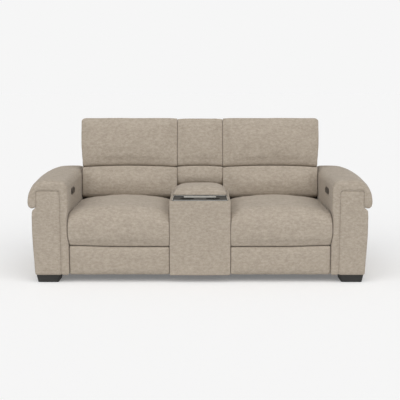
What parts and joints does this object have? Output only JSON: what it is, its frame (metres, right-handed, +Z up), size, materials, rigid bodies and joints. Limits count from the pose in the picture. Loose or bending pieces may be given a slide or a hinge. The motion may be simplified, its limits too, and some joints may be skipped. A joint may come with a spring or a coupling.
{
  "type": "reclining loveseat with console",
  "caption": "Upholstered power loveseat with reclining backs, tilting headrests, swing-out footrests and a centre console with cup tray and hinged storage lid.",
  "frame": {"origin": "on the floor under the middle of the loveseat's outline", "axes": "+X along its width to the right as seen from the front, +Z up; the front faces -Y"},
  "size_m": [2.03, 0.959, 0.9493],
  "materials": {
    "fabric": "matte",
    "plywood": "matte",
    "plywood_on_brackets": "satin",
    "painted_steel": "satin",
    "zinc_steel": "satin",
    "black_plastic": "satin",
    "dark_foot": "satin",
    "tray_plastic": "satin"
  },
  "bodies": {
    "base": {"console_cover": "fabric", "console_back_panel": "fabric", "console_back_lower_cushion": "fabric", "console_back_upper_cushion": "fabric", "base_frame": "painted_steel", "rear_rail": "plywood", "console_frame": "plywood", "storage_bin": "black_plastic", "cup_tray": "tray_plastic", "lid_hinge": "zinc_steel", "left_arm_body": "fabric", "left_arm_frame": "plywood", "left_arm_pad": "fabric", "left_front_foot": "dark_foot", "left_rear_foot": "dark_foot", "left_switch_panel": "black_plastic", "left_seat_frame": "painted_steel", "left_seat_springs": "zinc_steel", "left_seat_cushion": "fabric", "left_recline_drive": "black_plastic", "right_arm_body": "fabric", "right_arm_frame": "plywood", "right_arm_pad": "fabric", "right_front_foot": "dark_foot", "right_rear_foot": "dark_foot", "right_switch_panel": "black_plastic", "right_seat_frame": "painted_steel", "right_seat_springs": "zinc_steel", "right_seat_cushion": "fabric", "right_recline_drive": "black_plastic"},
    "left_back": {"left_back_frame": "plywood", "left_lumbar_cushion": "fabric", "left_back_panel": "fabric"},
    "left_headrest": {"left_headrest_cushion": "fabric", "left_headrest_frame": "plywood"},
    "left_rear_lift": {"left_rear_lift_link": "zinc_steel"},
    "left_front_lift": {"left_front_lift_link": "zinc_steel"},
    "left_long_link": {"left_long_footrest_link": "zinc_steel"},
    "left_short_link": {"left_short_footrest_link": "zinc_steel"},
    "left_footrest": {"left_footrest_pad": "fabric", "left_footrest_board": "plywood_on_brackets"},
    "left_carriage": {"left_drive_carriage": "zinc_steel"},
    "left_recline_switch": {"left_recline_rocker": "black_plastic"},
    "left_headrest_switch": {"left_headrest_rocker": "black_plastic"},
    "right_back": {"right_back_frame": "plywood", "right_lumbar_cushion": "fabric", "right_back_panel": "fabric"},
    "right_headrest": {"right_headrest_cushion": "fabric", "right_headrest_frame": "plywood"},
    "right_rear_lift": {"right_rear_lift_link": "zinc_steel"},
    "right_front_lift": {"right_front_lift_link": "zinc_steel"},
    "right_long_link": {"right_long_footrest_link": "zinc_steel"},
    "right_short_link": {"right_short_footrest_link": "zinc_steel"},
    "right_footrest": {"right_footrest_pad": "fabric", "right_footrest_board": "plywood_on_brackets"},
    "right_carriage": {"right_drive_carriage": "zinc_steel"},
    "right_recline_switch": {"right_recline_rocker": "black_plastic"},
    "right_headrest_switch": {"right_headrest_rocker": "black_plastic"},
    "lid": {"lid_board": "plywood", "lid_pad": "fabric"}
  },
  "joints": [
    {"name": "left_recline", "type": "hinge", "parent": "base", "child": "left_back", "pos_m": [-0.48, 0.14557, 0.29], "axis": [-1, 0, 0], "range_deg": [0, 38]},
    {"name": "left_headrest_tilt", "type": "hinge", "parent": "left_back", "child": "left_headrest", "pos_m": [-0.48, 0.19734, 0.65711], "axis": [1, 0, 0], "range_deg": [0, 40]},
    {"name": "left_rear_lift", "type": "hinge", "parent": "base", "child": "left_rear_lift", "pos_m": [-0.48, -0.20143, 0.268], "axis": [-1, 0, 0], "range_deg": [0, 139.1]},
    {"name": "left_front_lift", "type": "hinge", "parent": "base", "child": "left_front_lift", "pos_m": [-0.48, -0.23943, 0.26], "axis": [-1, 0, 0], "range_deg": [0, 142.2]},
    {"name": "left_long_link_swing", "type": "hinge", "parent": "left_rear_lift", "child": "left_long_link", "pos_m": [-0.48, 0.02057, 0.222], "axis": [-1, 0, 0], "range_deg": [-93.1, 0]},
    {"name": "left_short_link_swing", "type": "hinge", "parent": "left_front_lift", "child": "left_short_link", "pos_m": [-0.48, -0.04443, 0.225], "axis": [-1, 0, 0], "range_deg": [-101.8, 0]},
    {"name": "left_footrest_swing", "type": "hinge", "parent": "left_long_link", "child": "left_footrest", "pos_m": [-0.48, -0.35743, 0.083], "axis": [-1, 0, 0], "range_deg": [0, 44]},
    {"name": "left_carriage_slide", "type": "slide", "parent": "base", "child": "left_carriage", "axis": [0, -1, 0], "range_m": [0, 0.11346]},
    {"name": "left_recline_rock", "type": "hinge", "parent": "base", "child": "left_recline_switch", "pos_m": [-0.7765, -0.29343, 0.529], "axis": [0, 0, 1], "range_deg": [-5, 5], "stiffness_Nm_per_rad": 0.4},
    {"name": "left_headrest_rock", "type": "hinge", "parent": "base", "child": "left_headrest_switch", "pos_m": [-0.7765, -0.23743, 0.529], "axis": [0, 0, 1], "range_deg": [-5, 5], "stiffness_Nm_per_rad": 0.4},
    {"name": "right_recline", "type": "hinge", "parent": "base", "child": "right_back", "pos_m": [0.48, 0.14557, 0.29], "axis": [-1, 0, 0], "range_deg": [0, 38]},
    {"name": "right_headrest_tilt", "type": "hinge", "parent": "right_back", "child": "right_headrest", "pos_m": [0.48, 0.19734, 0.65711], "axis": [1, 0, 0], "range_deg": [0, 40]},
    {"name": "right_rear_lift", "type": "hinge", "parent": "base", "child": "right_rear_lift", "pos_m": [0.48, -0.20143, 0.268], "axis": [-1, 0, 0], "range_deg": [0, 139.1]},
    {"name": "right_front_lift", "type": "hinge", "parent": "base", "child": "right_front_lift", "pos_m": [0.48, -0.23943, 0.26], "axis": [-1, 0, 0], "range_deg": [0, 142.2]},
    {"name": "right_long_link_swing", "type": "hinge", "parent": "right_rear_lift", "child": "right_long_link", "pos_m": [0.48, 0.02057, 0.222], "axis": [-1, 0, 0], "range_deg": [-93.1, 0]},
    {"name": "right_short_link_swing", "type": "hinge", "parent": "right_front_lift", "child": "right_short_link", "pos_m": [0.48, -0.04443, 0.225], "axis": [-1, 0, 0], "range_deg": [-101.8, 0]},
    {"name": "right_footrest_swing", "type": "hinge", "parent": "right_long_link", "child": "right_footrest", "pos_m": [0.48, -0.35743, 0.083], "axis": [-1, 0, 0], "range_deg": [0, 44]},
    {"name": "right_carriage_slide", "type": "slide", "parent": "base", "child": "right_carriage", "axis": [0, -1, 0], "range_m": [0, 0.11346]},
    {"name": "right_recline_rock", "type": "hinge", "parent": "base", "child": "right_recline_switch", "pos_m": [0.7765, -0.29343, 0.529], "axis": [0, 0, 1], "range_deg": [-5, 5], "stiffness_Nm_per_rad": 0.4},
    {"name": "right_headrest_rock", "type": "hinge", "parent": "base", "child": "right_headrest_switch", "pos_m": [0.7765, -0.23743, 0.529], "axis": [0, 0, 1], "range_deg": [-5, 5], "stiffness_Nm_per_rad": 0.4},
    {"name": "lid_hinge_turn", "type": "hinge", "parent": "base", "child": "lid", "pos_m": [0, 0.01917, 0.4943], "axis": [-1, 0, 0], "range_deg": [0, 95]}
  ],
  "couplings": [
    {"joint": "left_rear_lift", "follows": "left_recline", "ratio": 3.6605},
    {"joint": "left_front_lift", "follows": "left_recline", "ratio": 3.7421},
    {"joint": "left_long_link_swing", "follows": "left_recline", "ratio": -2.45},
    {"joint": "left_short_link_swing", "follows": "left_recline", "ratio": -2.6789},
    {"joint": "left_footrest_swing", "follows": "left_recline", "ratio": 1.1578},
    {"joint": "left_carriage_slide", "follows": "left_recline", "m_per_rad": 0.17107},
    {"joint": "right_rear_lift", "follows": "right_recline", "ratio": 3.6605},
    {"joint": "right_front_lift", "follows": "right_recline", "ratio": 3.7421},
    {"joint": "right_long_link_swing", "follows": "right_recline", "ratio": -2.45},
    {"joint": "right_short_link_swing", "follows": "right_recline", "ratio": -2.6789},
    {"joint": "right_footrest_swing", "follows": "right_recline", "ratio": 1.1578},
    {"joint": "right_carriage_slide", "follows": "right_recline", "m_per_rad": 0.17107}
  ]
}
